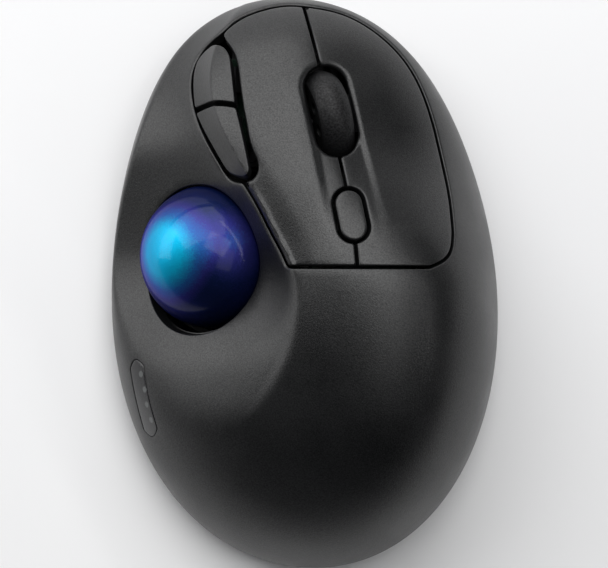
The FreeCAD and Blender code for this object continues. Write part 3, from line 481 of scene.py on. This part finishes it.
def skin_piece(name, outer_rings, hole_rings, spacing, surface=skin_point,
               fine=None, wall_moves=None, upright=None):
    """A closed shell piece: an outer sheet on the skin, walls, and an inner sheet.

    outer_rings and each of hole_rings list (disc points, drop) from the wall inwards; fine is
    a (spacing, test) pair that asks for a closer net where the test holds; wall_moves gives a
    hole's own direction of wall in place of the shell's; upright says how plumb walls stand.
    """
    all_rings = [outer_rings] + hole_rings
    points, drops, edges, walls = [], [], [], []
    for rings in all_rings:
        walls.append(range(len(points), len(points) + len(rings[0][0])))
        for ring, drop in rings:
            start, count = len(points), len(ring)
            points.extend(ring)
            drops.extend(np.broadcast_to(drop, count))
            edges += [(start + i, start + (i + 1) % count) for i in range(count)]
    for net in net_inside([rings[-1][0] for rings in all_rings], spacing, fine):
        points.extend(net)
        drops.extend([0.0] * len(net))
    points, drops = np.array(points), np.array(drops)
    triangles = triangulated(points, edges, outer_rings[0][0], [rings[0][0] for rings in hole_rings])

    top = surface(points[:, 0], points[:, 1]) - surface_normal(surface, points) * drops[:, None]
    skin = skin_point(points[:, 0], points[:, 1])
    bottom = under_skin(skin)
    if upright:
        share = upright(skin[:, 0], skin[:, 1])[:, None]
        bottom = bottom * (1 - share) + straight_under(skin) * share
    for wall, move in zip(walls, wall_moves or [None] * len(walls)):
        if move is not None:
            bottom[wall] = top[wall] + move

    vertices = list(top) + list(bottom)
    under = len(top)
    quads = []
    for wall in walls:
        first, count = len(vertices), len(wall)
        vertices += list((top[wall] + bottom[wall]) / 2)
        for k, i in enumerate(wall):
            after = (k + 1) % count
            j, middle, next_middle = wall[after], first + k, first + after
            quads += [(i, middle, next_middle, j), (middle, under + i, under + j, next_middle)]
    faces = [tuple(t) for t in triangles] + [tuple(t[::-1] + under) for t in triangles] + quads
    return mesh_object(name, vertices, faces)


def mesh_object(name, vertices, faces):
    """A smooth-shaded object from millimetre vertices; loose points are dropped."""
    mesh = bpy.data.meshes.new(name)
    mesh.from_pydata([tuple(float(c) * MM for c in v) for v in vertices], [], faces)
    work = bmesh.new()
    work.from_mesh(mesh)
    loose = [v for v in work.verts if not v.link_faces]
    bmesh.ops.delete(work, geom=loose, context="VERTS")
    bmesh.ops.recalc_face_normals(work, faces=work.faces)
    work.to_mesh(mesh)
    work.free()
    mesh.polygons.foreach_set("use_smooth", [True] * len(mesh.polygons))
    mesh.set_sharp_from_angle(angle=SHARP_ANGLE)
    item = bpy.data.objects.new(name, mesh)
    bpy.context.collection.objects.link(item)
    return item


# ---------------------------------------------------------------- shell pieces

COVER_NET, CREST_NET = 2.0, 1.0
KEY_NET, CHANNEL_NET = 1.1, 0.5
CAP_NET, FACET_NET = 0.7, 0.35
KEY_ROUNDING, SLOT_ROUNDING, CREST_ROUNDING = 0.4, 0.6, 0.9
OPENING_ROUNDING = 0.35
OPENING_WALL = 2.6
BUTTON_ROUNDING, DPI_ROUNDING = 0.3, 0.6
WINDOW_ROUNDING = 0.15
CREST_BAND = 8.0


def rim_rings(level, count=420):
    """The cover's lower edge: where the skin comes down to a height."""
    turn = np.linspace(0, 2 * math.pi, count, endpoint=False)
    low, high = np.full(count, 1.0), np.full(count, 1.12)
    for _ in range(30):
        middle = (low + high) / 2
        above = skin_point(middle * np.cos(turn), middle * np.sin(turn))[:, 2] > level
        low, high = np.where(above, middle, low), np.where(above, high, middle)
    return [(np.stack([low * np.cos(turn), low * np.sin(turn)], -1), 0.0)]


def close_to_crest(points):
    """Which disc points lie near the crest above the thumb rest."""
    place = skin_point(points[:, 0], points[:, 1])
    return np.abs(place[:, 0] - crest_x(place[:, 1])) < CREST_BAND


def beside_slot(x, y):
    """1 at the wheel slot, where the walls stand plumb, falling to 0 away from it."""
    along, across = slot_frame(x, y)
    away = np.hypot(np.maximum(np.abs(along) - SLOT_STRAIGHT, 0), across)
    return 1 - smooth((away - 5.5) / 6.0)


def close_to_channel(points):
    """Which disc points lie on the channel's shoulders or near the rolled left edge."""
    place = skin_point(points[:, 0], points[:, 1])
    along, across = slot_frame(place[:, 0], place[:, 1])
    away = np.hypot(np.maximum(along - SLOT_STRAIGHT, 0), across)
    shoulder = (away > 3.5) & (away < 7.2) & (along > -35)
    return shoulder | (run_distance(place[:, 0], place[:, 1], SEAM_RUN) < 4.0)


key_opening = grow(group_outline, KEY_GAP / 2)
palm_cover = skin_piece(
    "palm_cover", rim_rings(COVER_EDGE + 0.1),
    [plan_rings(key_opening, KEY_ROUNDING, -1),
     plan_rings(ball_hole(OPENING_RADIUS), OPENING_ROUNDING, -1),
     plan_rings(grow(window_outline, WINDOW_GAP), WINDOW_ROUNDING, -1)],
    COVER_NET, fine=(CREST_NET, close_to_crest), wall_moves=[None, None, -OPENING_WALL * BALL_UP, None])

left_edge = bite(bite(grow(left_outline, -KEY_GAP / 2), slot_outline), dpi_hole)
right_edge = bite(bite(grow(right_outline, -KEY_GAP / 2), slot_outline), dpi_hole)


def key_radius(edge, side=None):
    """Edge radii: larger round the wheel slot and beside the thumb buttons."""
    radius = np.full(len(edge), KEY_ROUNDING)
    radius[near_outline(edge, slot_outline, 0.3)] = SLOT_ROUNDING
    if side is not None:
        radius[near_outline(edge, smooth_run(side, 0.4), 1.2)] = CREST_ROUNDING
    for _ in range(6):
        radius = (np.roll(radius, 1) + radius * 2 + np.roll(radius, -1)) / 4
    return radius


left_rings = plan_rings(left_edge, key_radius(left_edge, KEY_LEFT_EDGE), 1)
left_shell = skin_piece("left_key_shell", left_rings, [], KEY_NET, key_surface,
                        fine=(CHANNEL_NET, close_to_channel), upright=beside_slot)
right_rings = plan_rings(right_edge, key_radius(right_edge), 1)
right_shell = skin_piece("right_key_shell", right_rings, [], KEY_NET, key_surface,
                         fine=(CHANNEL_NET, close_to_channel), upright=beside_slot)
forward_shell = skin_piece("forward_button_cap", plan_rings(forward_outline, BUTTON_ROUNDING, 1), [],
                           CAP_NET, facet_surface, fine=(FACET_NET, close_to_crest))
back_shell = skin_piece("back_button_cap", plan_rings(back_outline, BUTTON_ROUNDING, 1), [],
                        CAP_NET, facet_surface, fine=(FACET_NET, close_to_crest))
dpi_shell = skin_piece("dpi_button_cap", plan_rings(dpi_outline, DPI_ROUNDING, 1), [], CAP_NET, key_surface)
window_pane = skin_piece("status_pane", plan_rings(window_outline, WINDOW_ROUNDING, 1), [], CAP_NET)

SKIN_PIECES = ((palm_cover, "case", "top_cover", "shell_black"),
               (left_shell, "left_key", "left_key", "key_black"),
               (right_shell, "right_key", "right_key", "key_black"),
               (forward_shell, "forward_button", "forward_button", "key_black"),
               (back_shell, "back_button", "back_button", "key_black"),
               (dpi_shell, "dpi_button", "dpi_button", "key_black"),
               (window_pane, "case", "status_window", "window_smoke"))
for piece, body, node, slot in SKIN_PIECES:
    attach(piece, body)
    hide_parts(node)


# ---------------------------------------------------------------- finishes

class Finish:
    """A material tree with short calls for the nodes that the finishes share."""

    def __init__(self, name, **constants):
        self.material = bpy.data.materials.new(name)
        self.material.use_nodes = True
        self.tree = self.material.node_tree
        self.shader = self.tree.nodes["Principled BSDF"]
        for socket, value in constants.items():
            self.shader.inputs[socket.replace("_", " ")].default_value = value
        place = self.tree.nodes.new("ShaderNodeTexCoord")
        self.place = place.outputs["Object"]

    def link(self, source, target):
        self.tree.links.new(source, target)

    def noise(self, scale, detail=3.0):
        node = self.tree.nodes.new("ShaderNodeTexNoise")
        node.inputs["Scale"].default_value = scale
        node.inputs["Detail"].default_value = detail
        node.inputs["Roughness"].default_value = 0.55
        self.link(self.place, node.inputs["Vector"])
        return node.outputs["Fac"]

    def cells(self, scale):
        node = self.tree.nodes.new("ShaderNodeTexVoronoi")
        node.inputs["Scale"].default_value = scale
        self.link(self.place, node.inputs["Vector"])
        return node.outputs["Distance"]

    def span(self, source, low, high, start=0.3, end=0.7):
        """The source's start to end range stretched over low to high."""
        node = self.tree.nodes.new("ShaderNodeMapRange")
        node.inputs["From Min"].default_value = start
        node.inputs["From Max"].default_value = end
        node.inputs["To Min"].default_value = low
        node.inputs["To Max"].default_value = high
        self.link(source, node.inputs["Value"])
        return node.outputs["Result"]

    def ramp(self, source, *stops):
        node = self.tree.nodes.new("ShaderNodeValToRGB")
        band = node.color_ramp
        while len(band.elements) < len(stops):
            band.elements.new(0.5)
        for element, (position, colour) in zip(band.elements, stops):
            element.position = position
            element.color = (*colour, 1)
        self.link(source, node.inputs["Fac"])
        return node.outputs["Color"]

    def blend_sum(self, first, second, share):
        node = self.tree.nodes.new("ShaderNodeMath")
        node.operation = "MULTIPLY_ADD"
        node.inputs[1].default_value = share
        self.link(second, node.inputs[0])
        self.link(first, node.inputs[2])
        return node.outputs["Value"]

    def bump(self, source, depth):
        node = self.tree.nodes.new("ShaderNodeBump")
        node.inputs["Distance"].default_value = depth
        node.inputs["Strength"].default_value = 1.0
        self.link(source, node.inputs["Height"])
        self.link(node.outputs["Normal"], self.shader.inputs["Normal"])

    def nearness(self, spot, near, far):
        """1 close to a spot of the model, falling smoothly to 0 at the far distance."""
        node = self.tree.nodes.new("ShaderNodeVectorMath")
        node.operation = "DISTANCE"
        node.inputs[1].default_value = tuple(spot)
        self.link(self.place, node.inputs[0])
        return self.span(node.outputs["Value"], 1.0, 0.0, near, far)

    def colour(self, source):
        self.link(source, self.shader.inputs["Base Color"])

    def roughness(self, source):
        self.link(source, self.shader.inputs["Roughness"])


# Ball sides that get a painted highlight: light blue painted on the upper left where the left light reflects,
# and a faint one painted on the upper right where the strip light reflects. The colour stops run from the
# ball's own navy and violet up to the light blue of the painted highlight.
PAINTED_HIGHLIGHT_SIDE = unit((-0.66, 0.06, 0.75))
FAINT_HIGHLIGHT_SIDE = unit((0.34, 0.20, 0.92))
BALL_TONE_AND_HIGHLIGHT_STOPS = ((0.20, (0.003, 0.012, 0.06)), (0.42, (0.020, 0.022, 0.15)), (0.65, (0.012, 0.085, 0.28)),
               (1.0, (0.001, 0.36, 0.58)))
LAMP_MARKS = ((-38.7, -21.4), (-37.8, -25.0), (-37.3, -28.6), (-36.3, -32.2))


def moulded(name, tone, rough, grain=3200.0, depth=0.00002, spread=0.25, shine=0.36, **constants):
    """Moulded plastic or rubber: spark-eroded grain, slow tone drift, uneven gloss."""
    finish = Finish(name, **constants)
    fine = finish.noise(grain, 2.0)
    slow = finish.noise(45.0, 4.0)
    mixed = finish.blend_sum(slow, fine, 0.35)
    tone = np.array(tone)
    finish.colour(finish.ramp(mixed, (0.45, tone * (1 - spread)), (0.85, tone * (1 + spread))))
    finish.roughness(finish.span(mixed, rough - 0.05, rough + 0.05, 0.5, 0.8))
    finish.link(finish.span(fine, shine, shine + 0.3), finish.shader.inputs["Specular IOR Level"])
    finish.bump(fine, depth)
    return finish.material


def brushed(name, tone, rough, **constants):
    """Plated or blackened metal with fine scratches."""
    finish = Finish(name, Metallic=1.0, **constants)
    fine = finish.noise(5200.0, 2.0)
    slow = finish.noise(260.0, 3.0)
    tone = np.array(tone)
    finish.colour(finish.ramp(slow, (0.3, tone * 0.82), (0.7, tone * 1.1)))
    finish.roughness(finish.span(fine, rough - 0.08, rough + 0.1))
    finish.bump(fine, 0.000008)
    return finish.material


def pearl_and_painted_highlight(name):
    """Pearlescent ball lacquer, violet and navy with fine flakes, and painted highlights: light blue painted
    on the upper left where the left light reflects, and a faint patch painted on the upper right where the
    strip light reflects.
    """
    finish = Finish(name, Metallic=0.8, Coat_Weight=0.3, Coat_Roughness=0.12,
                    Specular_Tint=(0.30, 0.12, 1.0, 1))
    flake = finish.cells(3000.0)
    swirl = finish.noise(55.0, 3.0)
    # Painted highlight: the colour turns light blue close to these two spots on the ball, standing in for
    # reflections of the lights.
    painted_highlight = finish.nearness((BALL + PAINTED_HIGHLIGHT_SIDE * BALL_RADIUS) * MM, 0.0035, 0.0140)
    faint_painted_highlight = finish.nearness((BALL + FAINT_HIGHLIGHT_SIDE * BALL_RADIUS) * MM, 0.001, 0.010)
    mixed = finish.blend_sum(painted_highlight, faint_painted_highlight, 0.28)
    mixed = finish.blend_sum(mixed, swirl, 0.30)
    mixed = finish.blend_sum(mixed, flake, 0.12)
    finish.colour(finish.ramp(mixed, *BALL_TONE_AND_HIGHLIGHT_STOPS))
    finish.roughness(finish.span(flake, 0.36, 0.48, 0.1, 0.6))
    finish.bump(flake, 0.000012)
    return finish.material


def window_smoke(name):
    """Smoked window: glossy dark plastic with four thin places over the lamps behind it."""
    finish = Finish(name)
    fine = finish.noise(900.0, 2.0)
    marks = fine
    for x, y in LAMP_MARKS:
        spot = np.array((x, y, skin_height(x, y))) * MM
        marks = finish.blend_sum(marks, finish.nearness(spot, 0.0003, 0.0009), 1.5)
    finish.colour(finish.ramp(marks, (0.3, (0.008, 0.008, 0.009)), (0.8, (0.012, 0.012, 0.013)),
                              (1.0, (0.07, 0.075, 0.075))))
    finish.roughness(finish.span(fine, 0.18, 0.26))
    finish.bump(fine, 0.000003)
    return finish.material


def clear(name, tone, rough, transmission, **constants):
    """Clear or frosted plastic."""
    finish = Finish(name, Transmission_Weight=transmission, **constants)
    slow = finish.noise(160.0, 3.0)
    tone = np.array(tone)
    finish.colour(finish.ramp(slow, (0.3, tone * 0.9), (0.7, tone)))
    finish.roughness(finish.span(slow, rough, rough + 0.05))
    finish.bump(slow, 0.000005)
    return finish.material


FINISHES = {
    "shell_black": moulded("shell_black_looks", (0.0036, 0.0038, 0.0041), 0.37, 3000.0, 0.00004),
    "key_black": moulded("key_black_looks", (0.0038, 0.0040, 0.0043), 0.36, 3000.0, 0.00004),
    # The ball's lacquer carries painted highlights in its colour.
    "ball_blue": pearl_and_painted_highlight("ball_blue_looks"),
    "wheel_rubber": moulded("wheel_rubber_looks", (0.0045, 0.0045, 0.005), 0.56, 2200.0, 0.00003, shine=0.12),
    "hub_grey": moulded("hub_grey_looks", (0.007, 0.008, 0.008), 0.46, shine=0.2),
    "base_black": moulded("base_black_looks", (0.011, 0.011, 0.012), 0.5, 2400.0, 0.00004),
    "foot_grey": moulded("foot_grey_looks", (0.09, 0.09, 0.10), 0.3, 1800.0, 0.00001),
    "label_silver": moulded("label_silver_looks", (0.5, 0.5, 0.52), 0.35, 1500.0, 0.000006, 0.05),
    "screw_steel": brushed("screw_steel_looks", (0.03, 0.03, 0.033), 0.45),
    "board_green": moulded("board_green_looks", (0.004, 0.016, 0.009), 0.4, 900.0, 0.00001, shine=0.2),
    "chip_black": moulded("chip_black_looks", (0.02, 0.02, 0.021), 0.6),
    "switch_black": moulded("switch_black_looks", (0.03, 0.03, 0.033), 0.4),
    "plunger_white": moulded("plunger_white_looks", (0.72, 0.70, 0.64), 0.45, 2400.0, 0.00001, 0.06),
    "inner_grey": moulded("inner_grey_looks", (0.012, 0.012, 0.013), 0.5),
    "bearing_white": moulded("bearing_white_looks", (0.8, 0.8, 0.78), 0.15, 2400.0, 0.000003, 0.04),
    "lens_clear": clear("lens_clear_looks", (0.9, 0.93, 0.95), 0.05, 0.9),
    "window_smoke": window_smoke("window_smoke_looks"),
    "guide_clear": clear("guide_clear_looks", (0.9, 0.92, 0.9), 0.12, 0.7),
    "led_white": moulded("led_white_looks", (0.75, 0.74, 0.6), 0.3, 2400.0, 0.000006, 0.05),
    "battery_wrap": moulded("battery_wrap_looks", (0.06, 0.10, 0.20), 0.28, 700.0, 0.000006),
    "contact_nickel": brushed("contact_nickel_looks", (0.66, 0.63, 0.58), 0.28),
    "plug_steel": brushed("plug_steel_looks", (0.6, 0.6, 0.62), 0.3),
}

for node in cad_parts.values():
    for holder in node.material_slots:
        holder.material = FINISHES[holder.material.name]
for piece, _, _, slot in SKIN_PIECES:
    piece.data.materials.append(FINISHES[slot])


# ---------------------------------------------------------------- floor, light and camera, in metres

LIGHTS_AIM_HEIGHT = 0.03


def floor_plane(half):
    """A level square of floor that reaches half its side each way."""
    corners = [(-half, -half, 0), (half, -half, 0), (half, half, 0), (-half, half, 0)]
    mesh = bpy.data.meshes.new("floor")
    mesh.from_pydata(corners, [], [(0, 1, 2, 3)])
    item = bpy.data.objects.new("floor", mesh)
    bpy.context.collection.objects.link(item)
    return item


def soft_light(name, azimuth, elevation, distance, width, height, radiance):
    """A rectangular softbox aimed at the object; azimuth 0 is the front, 90 the right."""
    turn, tilt = math.radians(azimuth), math.radians(elevation)
    level = math.cos(tilt)
    place = Vector((math.sin(turn) * level, math.cos(turn) * level, math.sin(tilt))) * distance
    data = bpy.data.lights.new(name, "AREA")
    data.shape = "RECTANGLE"
    data.size, data.size_y = width, height
    data.energy = radiance * math.pi * width * height
    lamp = bpy.data.objects.new(name, data)
    lamp.location = place + Vector((0, 0, LIGHTS_AIM_HEIGHT))
    lamp.rotation_euler = (-place).to_track_quat("-Z", "Y").to_euler()
    bpy.context.collection.objects.link(lamp)


ground = floor_plane(3.0)
paint = Finish("floor_paint", Specular_IOR_Level=0.1)
paint.colour(paint.ramp(paint.noise(3.0, 2.0), (0.3, (0.84, 0.84, 0.85)), (0.7, (0.87, 0.87, 0.87))))
paint.roughness(paint.span(paint.noise(9.0, 2.0), 0.85, 0.95))
ground.data.materials.append(paint.material)

soft_light("front_softbox", -21, 34, 1.1, 1.6, 1.2, 2.85)
soft_light("left_softbox", -74, 12, 1.0, 0.65, 0.42, 3.0)
soft_light("overhead_softbox", 28, 68, 1.15, 0.75, 0.6, 3.4)
soft_light("right_softbox", 105, 66, 1.2, 0.7, 0.5, 1.0)
soft_light("right_strip", 62, 42, 0.9, 1.5, 0.05, 6.0)

world = bpy.data.worlds.new("studio")
world.use_nodes = True
world.node_tree.nodes["Background"].inputs["Color"].default_value = (0.9, 0.92, 1.0, 1)
world.node_tree.nodes["Background"].inputs["Strength"].default_value = 0.05
bpy.context.scene.world = world
bpy.context.scene.view_settings.view_transform = "Standard"

CAMERA_HEIGHT = 0.6
VIEW_WIDTH = 0.1482
VIEW_DISTANCE = 0.595
lens = bpy.data.cameras.new("camera")
lens.sensor_fit = "HORIZONTAL"
lens.angle = 2 * math.atan(VIEW_WIDTH / 2 / VIEW_DISTANCE)
camera = bpy.data.objects.new("camera", lens)
camera.location = (0, 0, CAMERA_HEIGHT)
bpy.context.collection.objects.link(camera)
bpy.context.scene.camera = camera
